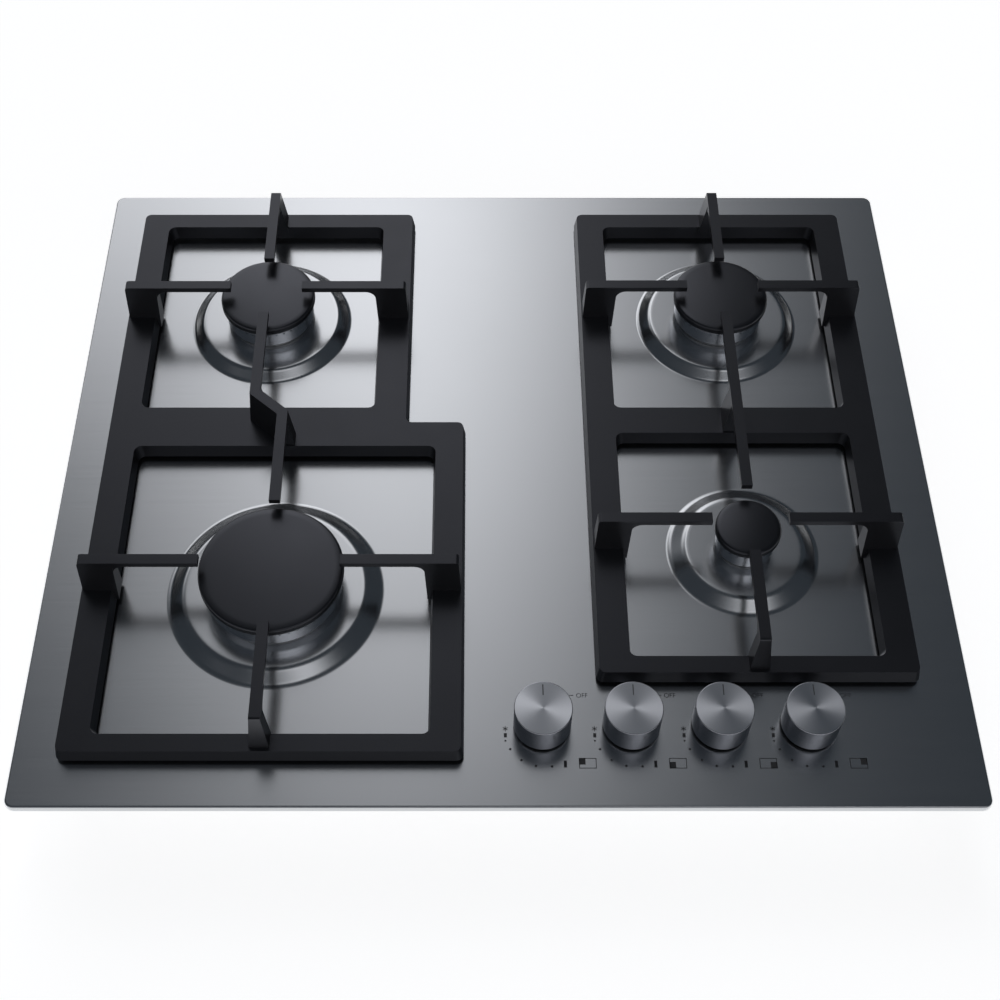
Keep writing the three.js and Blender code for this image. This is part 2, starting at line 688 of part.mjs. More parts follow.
// A straight finger that points at (x, y) along +X turned by angle; reach is the distance from
// there to the frame's outer edge. Its leg's inner face leans from inner to footIn, and the
// fillet under the finger runs out on that face.
function finger(x, y, angle, tipR, reach, kind) {
  const half = FINGER_WIDTH / 2;
  const outer = reach - kind.draft;
  const inner = outer - kind.length;
  const footIn = reach - kind.foot;
  const footZ = FRAME_TOP - LEG_SINK;
  const slab = box(tipR, outer - FINGER_END_ROUND, -half, half, FINGER_UNDER, IRON_TOP);
  const wide = half + LEG_SPREAD;
  const leg = loft([
    { points: rectPoints(footIn, reach - GAP, -wide, wide), z: footZ },
    { points: rectPoints(inner, outer, -half, half), z: IRON_TOP - FINGER_END_ROUND },
    { points: rectPoints(inner, outer - FINGER_END_ROUND * 0.3, -half, half),
      z: IRON_TOP - FINGER_END_ROUND * 0.3 },
    { points: rectPoints(inner, outer - FINGER_END_ROUND, -half, half), z: IRON_TOP },
  ]);
  const r = kind.fillet;
  const lean = (footIn - inner) / (IRON_TOP - FINGER_END_ROUND - footZ);
  const endZ = FINGER_UNDER - r;
  const centre = inner + lean * (IRON_TOP - FINGER_END_ROUND - endZ) - r * Math.hypot(1, lean);
  const fillet = new THREE.Shape();
  fillet.moveTo(inner + 1, FINGER_UNDER + 1);
  fillet.lineTo(centre, FINGER_UNDER + 1);
  fillet.lineTo(centre, FINGER_UNDER);
  fillet.absarc(centre, endZ, r, 90 * DEG, Math.atan(lean), true);
  fillet.lineTo(Math.max(centre + r, inner) + 1, endZ);
  const web = new THREE.ExtrudeGeometry(fillet, {
    depth: FINGER_WIDTH, bevelEnabled: false, curveSegments: 4,
  });
  web.rotateX(90 * DEG).translate(0, half, 0);
  return [slab, leg, web].map((g) => g.rotateZ(angle * DEG).translate(x, y, 0));
}

// The outline of a bar of the fingers' width along a line of [x, y] corners that runs front to back.
function barOutline(corners, grow) {
  const half = FINGER_WIDTH / 2 + grow;
  const side = (sign) => corners.map(([x, y], i) => {
    const before = corners[Math.max(i - 1, 0)];
    const after = corners[Math.min(i + 1, corners.length - 1)];
    const a = Math.atan2(y - before[1], x - before[0]);
    const b = Math.atan2(after[1] - y, after[0] - x);
    const first = i === 0 ? b : a;
    const second = i === corners.length - 1 ? a : b;
    const mid = (first + second) / 2;
    const reach = half / Math.cos((second - first) / 2);
    return [x + sign * reach * Math.sin(mid), y - sign * reach * Math.cos(mid)];
  });
  return [...side(1), ...side(-1).reverse()];
}

// The bar that joins two burners' fingers over the middle bar, with its leg.
function middleFinger(back, front, barY0, barY1) {
  const mid = (barY0 + barY1) / 2;
  const jog = Math.abs(back.x - front.x) > 1 ? JOG_LENGTH / 2 : 2;
  const bend = [[front.x, mid - jog], [back.x, mid + jog]];
  const ends = [[front.x, front.y + front.tipR], [back.x, back.y - back.tipR]];
  const legEnds = [[front.x, barY0 + MID_LEG_DRAFT], [back.x, barY1 - MID_LEG_DRAFT]];
  const footZ = FRAME_TOP - LEG_SINK;
  const slab = loft([
    { points: barOutline([ends[0], ...bend, ends[1]], 0), z: FINGER_UNDER },
    { points: barOutline([ends[0], ...bend, ends[1]], 0), z: IRON_TOP },
  ]);
  const leg = loft([
    { points: barOutline([[front.x, barY0], ...bend, [back.x, barY1]], LEG_SPREAD), z: footZ },
    { points: barOutline([legEnds[0], ...bend, legEnds[1]], 0), z: IRON_TOP - 1 },
  ]);
  return [slab, leg];
}

function footPlaces(f) {
  const i = FOOT_INSET;
  const end = FOOT_END_INSET;
  return [
    ["back_left", f.x0 + i, f.y1 - end],
    ["back_right", f.x1 - i, f.y1 - end],
    ["front_left", f.x0 + i, f.y0 + end],
    ["front_right", f.x2 - i, f.y0 + end],
  ];
}

// The frame's outline with its walls moved out by grow, as [x, y] points.
function frameOutline(f, grow) {
  const r = FRAME_CORNER_R;
  const [x0, x1, x2] = [f.x0 - grow, f.x1 + grow, f.x2 + grow];
  const [y0, y1, stepY] = [f.y0 - grow, f.y1 + grow, f.stepY + grow];
  if (x2 - x1 < 2 * r) return outlinePoints(roundedRect(x0, x1, y0, y1, r), 3);
  const shape = new THREE.Shape();
  shape.moveTo(x0 + r, y0);
  shape.lineTo(x2 - r, y0);
  shape.absarc(x2 - r, y0 + r, r, -90 * DEG, 0, false);
  shape.lineTo(x2, stepY - r);
  shape.absarc(x2 - r, stepY - r, r, 0, 90 * DEG, false);
  shape.lineTo(x1 + r, stepY);
  shape.absarc(x1 + r, stepY + r, r, -90 * DEG, -180 * DEG, true);
  shape.lineTo(x1, y1 - r);
  shape.absarc(x1 - r, y1 - r, r, 0, 90 * DEG, false);
  shape.lineTo(x0 + r, y1);
  shape.absarc(x0 + r, y1 - r, r, 90 * DEG, 180 * DEG, false);
  shape.lineTo(x0, y0 + r);
  shape.absarc(x0 + r, y0 + r, r, 180 * DEG, 270 * DEG, false);
  return outlinePoints(shape, 3);
}

function windowOutline(w, grow) {
  return outlinePoints(
    roundedRect(w.x0 - grow, w.x1 + grow, w.y0 - grow, w.y1 + grow, WINDOW_CORNER_R), 3);
}

// The flat frame, whose walls stand further out at the underside. A window's cut carries the
// slope of its walls on past the frame's two faces.
function supportBase(f) {
  const base = loft([
    { points: frameOutline(f, FRAME_DRAFT), z: FRAME_FOOT },
    { points: frameOutline(f, 0), z: FRAME_TOP },
  ]);
  const past = FRAME_DRAFT / FRAME_THICK;
  const windows = [f.backWindow, f.frontWindow].map((w) => loft([
    { points: windowOutline(w, -FRAME_DRAFT - past), z: FRAME_FOOT - 1 },
    { points: windowOutline(w, past), z: FRAME_TOP + 1 },
  ]));
  return cut(solid(base), windows);
}

function panSupport(f, back, front) {
  const fingers = [
    ...finger(back.x, back.y, 180, back.tipR, back.x - f.x0, SIDE_LEG),
    ...finger(back.x, back.y, 0, back.tipR, f.x1 - back.x, SIDE_LEG),
    ...finger(back.x, back.y, 90, back.tipR, f.y1 - back.y, BACK_LEG),
    ...finger(front.x, front.y, 180, front.tipR, front.x - f.x0, SIDE_LEG),
    ...finger(front.x, front.y, 0, front.tipR, f.x2 - front.x, SIDE_LEG),
    ...finger(front.x, front.y, -90, front.tipR, front.y - f.y0, FRONT_LEG),
    ...middleFinger(back, front, f.frontWindow.y1, f.backWindow.y0),
  ];
  const sockets = footPlaces(f).map(([, x, y]) =>
    rod(x, y, FOOT_STUD_R + GAP, FRAME_FOOT - 1, FRAME_FOOT + FOOT_STUD + GAP, 10));
  return cut(supportBase(f).add(joined(fingers)), sockets);
}

function rubberFoot() {
  return turned([
    [0, GAP],
    [FOOT_R - 0.6, GAP],
    [FOOT_R, FRAME_FOOT - GAP],
    [FOOT_STUD_R, FRAME_FOOT - GAP],
    [FOOT_STUD_R, FRAME_FOOT + FOOT_STUD],
    [0, FRAME_FOOT + FOOT_STUD],
  ], 12);
}

const supports = [
  ["left", leftFrame, burners[0], burners[1]],
  ["right", rightFrame, burners[3], burners[2]],
];
for (const [side, frame, back, front] of supports) {
  place(side + "_pan_support", panSupport(frame, back, front), castIron, 0, 0, PANEL_TOP);
  for (const [corner, x, y] of footPlaces(frame)) {
    place(side + "_support_foot_" + corner, rubberFoot(), rubber, x, y, PANEL_TOP);
  }
}

// ---- Knobs, stems, collars and gas valves ----

function knobXs() {
  return burners.map((_, i) => PANEL_WIDTH / 2 - KNOB_RIGHT_MARGIN - (3 - i) * KNOB_PITCH);
}

function knob() {
  const [foot, top] = [KNOB_LIFT, KNOB_LIFT + KNOB_HEIGHT];
  const under = top - KNOB_TOP_THICK;
  const bore = STEM_R + GAP;
  const body = turned([
    [0, under],
    [bore, under],
    [bore, foot + 1],
    [KNOB_BOSS_R, foot + 1],
    [KNOB_BOSS_R, under - 1],
    [KNOB_R - KNOB_WALL, under - 1],
    [KNOB_R - KNOB_WALL, foot],
    [KNOB_R, foot],
    [KNOB_R, top - KNOB_BEVEL],
    [KNOB_R - KNOB_BEVEL, top],
    [0, top],
  ]);
  const markY = KNOB_R - KNOB_BEVEL - 0.6;
  return cut(solid(body), [
    box(-MARK_WIDTH / 2, MARK_WIDTH / 2, markY - MARK_LENGTH, markY, top - MARK_DEPTH, top + 1),
  ]);
}

function stem() {
  const top = KNOB_LIFT + KNOB_HEIGHT - KNOB_TOP_THICK - GAP;
  const body = rod(0, 0, STEM_R, -STEM_BELOW, top);
  return cut(solid(body), [box(STEM_FLAT, STEM_R + 1, -STEM_R, STEM_R, 0, top + 1)]);
}

// A ring on the stem that goes down with it and doesn't turn; it works the spark switch.
function pressCollar() {
  const foot = VALVE_TOP + VALVE_BUSH + GAP + COLLAR_TRAVEL + 1 - PANEL_TOP;
  return turned([
    [STEM_R + GAP, foot],
    [COLLAR_R, foot],
    [COLLAR_R, foot + COLLAR_THICK],
    [STEM_R + GAP, foot + COLLAR_THICK],
  ], 16);
}

function gasValve() {
  const half = VALVE_WIDTH / 2;
  const outlet = new THREE.CylinderGeometry(VALVE_OUTLET_R, VALVE_OUTLET_R, VALVE_OUTLET + 1, 12);
  const body = joined([
    box(-half, half, -half, half, RAIL_TOP, VALVE_TOP),
    rod(0, 0, VALVE_BUSH_R, VALVE_TOP - 1, VALVE_TOP + VALVE_BUSH, 16),
    outlet.translate(0, half + VALVE_OUTLET / 2 - 0.5, PIPE_START_Z),
  ]);
  return cut(body, [
    rod(0, 0, STEM_R + GAP, VALVE_TOP + VALVE_BUSH - VALVE_BORE, VALVE_TOP + VALVE_BUSH + 1),
  ]);
}

// A gas pipe leaves its valve towards the back, drops to the tray's floor, runs to its burner and
// turns up into the jet. The pipe to the back left stays high until it has passed the next one.
function gasPipe(x, b, i) {
  const startY = KNOB_Y + VALVE_WIDTH / 2 + VALVE_OUTLET + GAP;
  const end = PANEL_TOP - CUP_DEPTH - GAP - JET_NUT - GAP;
  const out = [x, startY + PIPE_BEND * 1.3];
  const high = PIPE_START_Z;
  const low = PIPE_LOW_Z;
  const downY = startY + PIPE_FALL;
  const passY = burners[1].y + PIPE_PASS;
  const turnInY = b.y - PIPE_TURN_LENGTH;
  const last = [[b.x, b.y, low], [b.x, b.y, end]];
  const lanes = [
    [
      [x, passY, high],
      [x - PIPE_FALL, passY + PIPE_FALL, low],
      [b.x + PIPE_TURN_LENGTH, turnInY, low],
    ],
    [[...out, high], [x - PIPE_FALL / 2, downY, low]],
    [[...out, high], [x, downY, low]],
    [[...out, high], [x + PIPE_ASIDE, downY, low], [x + PIPE_ASIDE, turnInY, low]],
  ];
  return tube([[x, startY, high], ...lanes[i], ...last], PIPE_R, PIPE_BEND);
}

for (const [i, b] of burners.entries()) {
  const x = knobXs()[i];
  place("knob_" + b.place, knob(), knobMetal, x, KNOB_Y, PANEL_TOP);
  place("valve_stem_" + b.place, stem(), steel, x, KNOB_Y, PANEL_TOP);
  place("press_collar_" + b.place, pressCollar(), plastic, x, KNOB_Y, PANEL_TOP);
  place("gas_valve_" + b.place, gasValve(), brass, x, KNOB_Y, 0);
  place("gas_pipe_" + b.place, gasPipe(x, b, i), castAluminium);
}

// ---- Gas rail, inlet and spark box ----

function gasRail() {
  return tube([
    [knobXs()[0] - VALVE_WIDTH, KNOB_Y, RAIL_Z],
    [RAIL_RETURN_X, KNOB_Y, RAIL_Z],
    [RAIL_RETURN_X, 0, RAIL_Z],
    [RAIL_RETURN_X, RAIL_CLIMB, INLET_Z],
    [RAIL_RETURN_X, RAIL_END_Y, INLET_Z],
  ], RAIL_R, RAIL_BEND, 10);
}

function inletUnion() {
  const nut = new THREE.CylinderGeometry(INLET_NUT_R, INLET_NUT_R, INLET_NUT, 6);
  const length = INLET_END_Y - INLET_NUT_Y;
  const thread = new THREE.CylinderGeometry(INLET_THREAD_R, INLET_THREAD_R, length, 16);
  const bore = new THREE.CylinderGeometry(INLET_BORE_R, INLET_BORE_R, 2 * INLET_BORE, 16);
  const body = joined([
    nut.translate(RAIL_RETURN_X, INLET_NUT_Y, INLET_Z),
    thread.translate(RAIL_RETURN_X, INLET_END_Y - length / 2, INLET_Z),
  ]);
  return cut(body, [bore.translate(RAIL_RETURN_X, INLET_END_Y, INLET_Z)]);
}

function sparkBox() {
  const [w, d, h] = [IGNITION_WIDTH, IGNITION_DEPTH, IGNITION_HEIGHT];
  const lugs = [-1.5, -0.5, 0.5, 1.5].map((n) =>
    rod(n * (w / 5), 0, IGNITION_LUG / 2, h - 1, h + IGNITION_LUG, 10));
  return joined([box(-w / 2, w / 2, -d / 2, d / 2, 0, h), ...lugs]);
}

place("gas_rail", gasRail(), galvanised);
place("gas_inlet_union", inletUnion(), brass);
place("spark_box", sparkBox(), plastic,
  0, PANEL_DEPTH / 2 - IGNITION_BACK_MARGIN, TRAY_SHEET + GAP);

// ---- Worktop clamps ----

// A flat arm with a turned-up tip, drawn along +Y from its screw.
function clampArm() {
  const half = CLAMP_WIDTH / 2;
  const [z0, z1] = [CLAMP_LIFT, CLAMP_LIFT + CLAMP_SHEET];
  return joined([
    box(-half, half, 0, CLAMP_ARM, z0, z1),
    rod(0, 0, half, z0, z1, 16),
    box(-half, half, CLAMP_ARM - CLAMP_SHEET, CLAMP_ARM, z0, z1 + CLAMP_TIP),
    rod(0, 0, CLAMP_SCREW_R, z0, CLAMP_POCKET - GAP, 10),
  ]);
}

for (const c of clampPlaces()) {
  const arm = clampArm();
  const turnedArm = c.along > 0 ? arm : arm.rotate([0, 0, 180]);
  place("worktop_clamp_" + c.name, turnedArm, galvanised, c.x, c.y, 0);
}

export default group;
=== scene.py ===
# Looks of the built-in gas cooktop: smooth panel, burners, knobs and pan supports, printed marks,
# materials, camera and studio. Metres, +Z up, the knobs at the front (-Y).
import math

import bmesh
import bpy
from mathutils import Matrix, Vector


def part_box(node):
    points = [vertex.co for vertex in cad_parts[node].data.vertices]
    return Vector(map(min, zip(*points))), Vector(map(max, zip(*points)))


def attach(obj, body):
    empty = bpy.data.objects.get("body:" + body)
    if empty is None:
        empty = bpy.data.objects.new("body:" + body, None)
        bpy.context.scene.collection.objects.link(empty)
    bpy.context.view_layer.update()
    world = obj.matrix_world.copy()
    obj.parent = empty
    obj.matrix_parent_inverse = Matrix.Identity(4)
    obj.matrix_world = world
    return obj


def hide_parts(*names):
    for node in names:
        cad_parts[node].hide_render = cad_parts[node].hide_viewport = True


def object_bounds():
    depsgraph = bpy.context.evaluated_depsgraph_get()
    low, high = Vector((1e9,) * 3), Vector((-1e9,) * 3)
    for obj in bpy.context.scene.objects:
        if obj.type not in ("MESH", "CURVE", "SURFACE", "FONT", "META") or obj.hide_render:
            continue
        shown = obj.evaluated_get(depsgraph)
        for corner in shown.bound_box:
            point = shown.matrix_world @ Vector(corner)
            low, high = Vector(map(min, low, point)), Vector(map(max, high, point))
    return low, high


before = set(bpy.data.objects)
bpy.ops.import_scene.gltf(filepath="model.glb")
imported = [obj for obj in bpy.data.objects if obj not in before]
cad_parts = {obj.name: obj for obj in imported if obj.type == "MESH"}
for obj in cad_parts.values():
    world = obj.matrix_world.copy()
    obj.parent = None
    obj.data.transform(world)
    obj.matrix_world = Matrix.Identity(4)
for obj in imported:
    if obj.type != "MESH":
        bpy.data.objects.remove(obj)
CAD_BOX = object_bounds()
MM = 0.001

# ---- Sizes that the frame doesn't give ----

GAP = 0.3 * MM  # left between pieces that touch
RIM_DROP = 4.6 * MM  # the panel's edge is turned down this far
PANEL_SHEET = 1.0 * MM
PANEL_CORNER = 6.0 * MM
RIM_ROUND = 1.5 * MM
PRESS_HEIGHT = 6.0 * MM
PRESS_BEND = 0.28  # share of the pressed slope that bends, at each end
SEAT_BORDER = 1.5 * MM  # a first flat ring inside each pressed slope
KNOB_HOLE = 6.5 * MM
SEAT_WIDTH = {"back_left": 14.2, "front_left": 10.8, "front_right": 15.5, "back_right": 14.2}
FLANK_WIDTH = {"back_left": 10.0, "front_left": 13.0, "front_right": 13.0, "back_right": 10.0}
PORT_COUNT = {"back_left": 36, "front_left": 48, "front_right": 24, "back_right": 36}
CUP_IN_CAP = 8.0 * MM  # the cup's wall stands this far inside the cap's edge
HEAD_IN_CAP = 2.2 * MM
RIM_IN_CAP = 0.9 * MM
CAP_SKIRT = 3.0 * MM  # the skirt stands below the cap's edge
CAP_SKIRT_WALL = 2.0 * MM
CAP_SIDE = 3.0 * MM
CAP_ROUND = 2.0 * MM
CAP_FOOT_ROUND = 0.5 * MM
HEAD_WALL = 3.0 * MM
HEAD_FLOOR = 2.3 * MM
HEAD_ROUND = 0.4 * MM
THROAT_R = 8.0 * MM
THROAT_WALL = 2.0 * MM
THROAT_LENGTH = 7.0 * MM
PORT_LOW = 4.4 * MM  # from the head's top down to the ring of ports
PORT_HIGH = 1.6 * MM
PORT_DEPTH = 2.2 * MM
PORT_PITCH = 4  # sides of the head to each port
KNOB_ROUND = 0.45 * MM
KNOB_WALL = 2.0 * MM
KNOB_CEILING = 4.0 * MM  # from the knob's top to the room inside its wall
KNOB_BOSS_R = 6.0 * MM
KNOB_BOSS_LIFT = 1.0 * MM
STEM_HOLE_R = 3.3 * MM
STEM_HOLE_TOP = 3.4 * MM
GROOVE_HALF = 0.3 * MM
GROOVE_IN = (9.0 * MM, 2.0 * MM)  # its ends, from the knob's edge
GROOVE_DEEP = 0.45 * MM
PLUG_HEIGHT = 14.05 * MM  # the metal pin of a spark plug begins this far above the panel
SIDES = 128  # of a large round piece
BURNERS = ("back_left", "front_left", "front_right", "back_right")

PANEL_LOW, PANEL_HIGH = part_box("top_panel")
PANEL_TOP = PANEL_LOW.z + RIM_DROP
PANEL_X, PANEL_Y = PANEL_HIGH.x, PANEL_HIGH.y


def middle(node):
    """The middle of a CAD node's box."""
    low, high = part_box(node)
    return (low + high) / 2


def radius(node):
    """Half the width of a CAD node's box."""
    low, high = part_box(node)
    return (high.x - low.x) / 2


BURNER_AT = {b: middle("burner_cap_" + b) for b in BURNERS}
CAP_R = {b: radius("burner_cap_" + b) for b in BURNERS}
SEAT_R = {b: CAP_R[b] + SEAT_WIDTH[b] * MM for b in BURNERS}
SEAT_FOOT_R = {b: SEAT_R[b] + FLANK_WIDTH[b] * MM for b in BURNERS}
KNOB_AT = {b: middle("knob_" + b) for b in BURNERS}
KNOB_R = radius("knob_back_left")


# ---- Mesh helpers ----


def add_piece(name, bm, material, body, smooth=35, sharp=()):
    """Makes a shaded object from a bmesh and lets it ride on a body. Edges that turn by more than
    smooth, in degrees, stay sharp."""
    bm.normal_update()
    for face in bm.faces:
        face.smooth = True
    limit = math.radians(smooth)
    for edge in bm.edges:
        if len(edge.link_faces) != 2 or edge.calc_face_angle(0) > limit:
            edge.smooth = False
    for edge in sharp:
        edge.smooth = False
    mesh = bpy.data.meshes.new(name)
    bm.to_mesh(mesh)
    bm.free()
    mesh.materials.append(material)
    piece = bpy.data.objects.new(name, mesh)
    bpy.context.scene.collection.objects.link(piece)
    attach(piece, body)
    return piece


def arc(cx, cz, r, start, end, steps):
    """Points of an arc in degrees, ends included."""
    angles = [math.radians(start + (end - start) * i / steps) for i in range(steps + 1)]
    return [(cx + r * math.cos(a), cz + r * math.sin(a)) for a in angles]


def turned(profile, centre, sides):
    """A profile of (radius, z) points turned round a vertical axis; an open profile that starts or
    ends on the axis closes there."""
    bm = bmesh.new()
    rings = []
    for r, z in profile:
        if r < 1e-7:
            rings.append([bm.verts.new((centre.x, centre.y, z))])
            continue
        ring = []
        for i in range(sides):
            angle = 2 * math.pi * i / sides
            x = centre.x + r * math.cos(angle)
            y = centre.y + r * math.sin(angle)
            ring.append(bm.verts.new((x, y, z)))
        rings.append(ring)
    for lower, upper in zip(rings, rings[1:]):
        for i in range(sides):
            j = (i + 1) % sides
            quad = [lower[i % len(lower)], lower[j % len(lower)],
                    upper[j % len(upper)], upper[i % len(upper)]]
            corners = list(dict.fromkeys(quad))
            if len(corners) > 2:
                bm.faces.new(corners)
    return bm


def rounded_rect(half_x, half_y, r):
    points = []
    for sx, sy, start in ((1, 1, 0), (-1, 1, 90), (-1, -1, 180), (1, -1, 270)):
        points += arc(sx * (half_x - r), sy * (half_y - r), r, start, start + 90, 8)
    return points


def circle(x, y, r, sides):
    angles = [2 * math.pi * i / sides for i in range(sides)]
    return [(x + r * math.cos(a), y + r * math.sin(a)) for a in angles]


# ---- Material helpers ----


class Nodes:
    """A small builder of node trees: node(type, inputs, properties) returns the node."""

    def __init__(self, tree):
        self.tree = tree
        tree.nodes.clear()

    def node(self, kind, inputs=None, **properties):
        made = self.tree.nodes.new("ShaderNode" + kind)
        for key, value in properties.items():
            setattr(made, key, value)
        for key, value in (inputs or {}).items():
            if isinstance(value, bpy.types.NodeSocket):
                self.tree.links.new(value, made.inputs[key])
            else:
                made.inputs[key].default_value = value
        return made

    def math(self, operation, a, b=0.0):
        return self.node("Math", {0: a, 1: b}, operation=operation).outputs[0]

    def spread(self, value, low, high):
        """Maps 0..1 to low..high."""
        made = self.node("MapRange", {"Value": value, "To Min": low, "To Max": high})
        return made.outputs["Result"]

    def between(self, value, from_low, from_high, low, high):
        made = self.node("MapRange", {
            "Value": value, "From Min": from_low, "From Max": from_high,
            "To Min": low, "To Max": high,
        })
        return made.outputs["Result"]

    def mix(self, factor, a, b):
        made = self.node("Mix", data_type="RGBA")
        for socket, value in ((0, factor), (6, a), (7, b)):
            if isinstance(value, bpy.types.NodeSocket):
                self.tree.links.new(value, made.inputs[socket])
            else:
                made.inputs[socket].default_value = value
        return made.outputs[2]

    def noise(self, place, scale, detail=3.0, stretch=None):
        if stretch:
            place = self.node("Mapping", {"Vector": place, "Scale": stretch}).outputs[0]
        made = self.node("TexNoise", {
            "Vector": place, "Scale": scale, "Detail": detail, "Roughness": 0.55,
        })
        return made.outputs["Fac"]

    def bump(self, height, strength, distance):
        made = self.node("Bump", {"Height": height, "Strength": strength, "Distance": distance})
        return made.outputs["Normal"]


def new_material(name):
    material = bpy.data.materials.new(name)
    material.use_nodes = True
    return material, Nodes(material.node_tree)


def surface(nodes, **inputs):
    """The Principled shader, with sockets named by keyword: base_color sets Base Color."""
    named = {key.replace("_", " ").title().replace("Ior", "IOR"): value
             for key, value in inputs.items()}
    shader = nodes.node("BsdfPrincipled", named)
    nodes.node("OutputMaterial", {"Surface": shader.outputs[0]})


def object_place(nodes):
    return nodes.node("TexCoord").outputs["Object"]


def grey(value, blue=1.02):
    return (value, value, value * blue, 1.0)


def cool(value, blue=1.05):
    """A slightly cold metal grey."""
    return (value * 0.98, value, value * blue, 1.0)


def brushed_steel(name, color, rough, aniso, lines):
    """Steel brushed from side to side: the streaks run along X."""
    material, n = new_material(name)
    place = object_place(n)
    streak = n.noise(place, lines, 4.0, stretch=(0.012, 1.0, 1.0))
    fine = n.noise(place, lines * 3.1, 2.0, stretch=(0.02, 1.0, 1.0))
    patch = n.noise(place, 14.0, 2.0)
    both = n.math("ADD", n.math("MULTIPLY", streak, 0.6), n.math("MULTIPLY", fine, 0.4))
    tint = n.mix(both, cool(color * 0.95, 1.025), cool(color * 1.05, 1.025))
    roughness = n.math("ADD", n.spread(both, rough - 0.03, rough + 0.03),
                       n.spread(patch, -0.01, 0.01))
    tangent = n.node("Tangent", direction_type="UV_MAP", uv_map="brush")
    surface(n, base_color=tint, metallic=1.0, roughness=roughness, anisotropic=aniso,
            tangent=tangent.outputs[0], normal=n.bump(both, 0.05, 0.00004))
    return material


def spun_metal(name, color, rough, aniso, blue=1.05, twist=0.0):
    """Metal turned on a lathe: fine circles round each piece's own vertical axis. A twist, in
    turns, makes the circles spirals."""
    material, n = new_material(name)
    place = n.node("TexCoord").outputs["Generated"]
    split = n.node("SeparateXYZ", {"Vector": place})
    x = n.math("SUBTRACT", split.outputs[0], 0.5)
    y = n.math("SUBTRACT", split.outputs[1], 0.5)
    r = n.math("SQRT", n.math("ADD", n.math("MULTIPLY", x, x), n.math("MULTIPLY", y, y)))
    ring = n.node("CombineXYZ", {0: r, 2: split.outputs[2]}).outputs[0]
    lines = n.noise(ring, 150.0, 3.0)
    tint = n.mix(lines, cool(color * 0.93, blue), cool(color * 1.07, blue))
    tangent = n.node("Tangent", direction_type="RADIAL", axis="Z")
    surface(n, base_color=tint, metallic=1.0, roughness=n.spread(lines, rough - 0.04, rough + 0.04),
            anisotropic=aniso, anisotropic_rotation=twist, tangent=tangent.outputs[0],
            normal=n.bump(lines, 0.1, 0.00004))
    return material


def cast_metal(name, color, rough):
    material, n = new_material(name)
    place = object_place(n)
    grains = n.noise(place, 900.0, 3.0)
    cloud = n.noise(place, 60.0, 3.0)
    tint = n.mix(cloud, grey(color * 0.9), grey(color * 1.1))
    surface(n, base_color=tint, metallic=1.0,
            roughness=n.spread(cloud, rough - 0.05, rough + 0.05),
            normal=n.bump(grains, 0.35, 0.00008))
    return material


def enamelled_iron(name, color, rough, sheen, grain, depth):
    """Matt enamel on cast iron: a slightly grainy coat, paler where it is thin."""
    material, n = new_material(name)
    place = object_place(n)
    grains = n.noise(place, grain, 4.0)
    cloud = n.noise(place, 35.0, 4.0)
    speck = n.between(n.noise(place, grain * 0.5, 2.0), 0.55, 0.75, 0.0, 1.0)
    tint = n.mix(cloud, grey(color * 0.92, 1.1), grey(color * 1.08, 1.1))
    tint = n.mix(n.math("MULTIPLY", speck, 0.25), tint, grey(color * 1.6, 1.05))
    surface(n, base_color=tint, roughness=n.spread(cloud, rough - 0.05, rough + 0.05),
            specular_ior_level=sheen, specular_tint=(0.95, 0.98, 1.1, 1.0),
            normal=n.bump(grains, 0.3, depth))
    return material


def plain_plastic(name, color, rough):
    material, n = new_material(name)
    place = object_place(n)
    grains = n.noise(place, 1200.0, 2.0)
    surface(n, base_color=n.mix(grains, grey(color * 0.9), grey(color * 1.1)),
            roughness=n.spread(grains, rough - 0.05, rough + 0.05),
            normal=n.bump(grains, 0.2, 0.00003))
    return material


def coloured_metal(name, color, rough):
    material, n = new_material(name)
    place = object_place(n)
    lines = n.noise(place, 700.0, 2.0, stretch=(0.3, 0.3, 1.0))
    cloud = n.noise(place, 50.0, 3.0)
    dark = tuple(c * 0.82 for c in color) + (1.0,)
    tint = n.mix(cloud, dark, color + (1.0,))
    surface(n, base_color=tint, metallic=1.0, roughness=n.spread(cloud, rough - 0.06, rough + 0.08),
            normal=n.bump(lines, 0.1, 0.00003))
    return material


def galvanised(name):
    """Zinc coating: soft flat crystals a few millimetres across."""
    material, n = new_material(name)
    place = object_place(n)
    spangle = n.node("TexVoronoi", {"Vector": place, "Scale": 110.0}).outputs["Color"]
    level = n.node("SeparateXYZ", {"Vector": spangle}).outputs[0]
    cloud = n.noise(place, 20.0, 3.0)
    both = n.math("ADD", n.math("MULTIPLY", level, 0.6), n.math("MULTIPLY", cloud, 0.4))
    surface(n, base_color=n.mix(both, grey(0.42), grey(0.56)), metallic=0.9,
            roughness=n.spread(both, 0.36, 0.5), normal=n.bump(level, 0.05, 0.00005))
    return material


def glazed_plug(name):
    """White ceramic with a metal pin at its top."""
    material, n = new_material(name)
    place = object_place(n)
    height = n.node("SeparateXYZ", {"Vector": place}).outputs[2]
    pin = n.math("GREATER_THAN", height, PANEL_TOP + PLUG_HEIGHT)
    cloud = n.noise(place, 300.0, 3.0)
    glaze = n.mix(cloud, (0.74, 0.71, 0.64, 1), (0.82, 0.8, 0.74, 1))
    surface(n, base_color=n.mix(pin, glaze, grey(0.45)), metallic=pin,
            roughness=n.spread(cloud, 0.18, 0.3))
    return material


def printed(name, color):
    material, n = new_material(name)
    place = object_place(n)
    worn = n.noise(place, 2500.0, 2.0)
    surface(n, base_color=n.mix(worn, grey(color), grey(color * 1.4)),
            roughness=n.spread(worn, 0.45, 0.6))
    return material


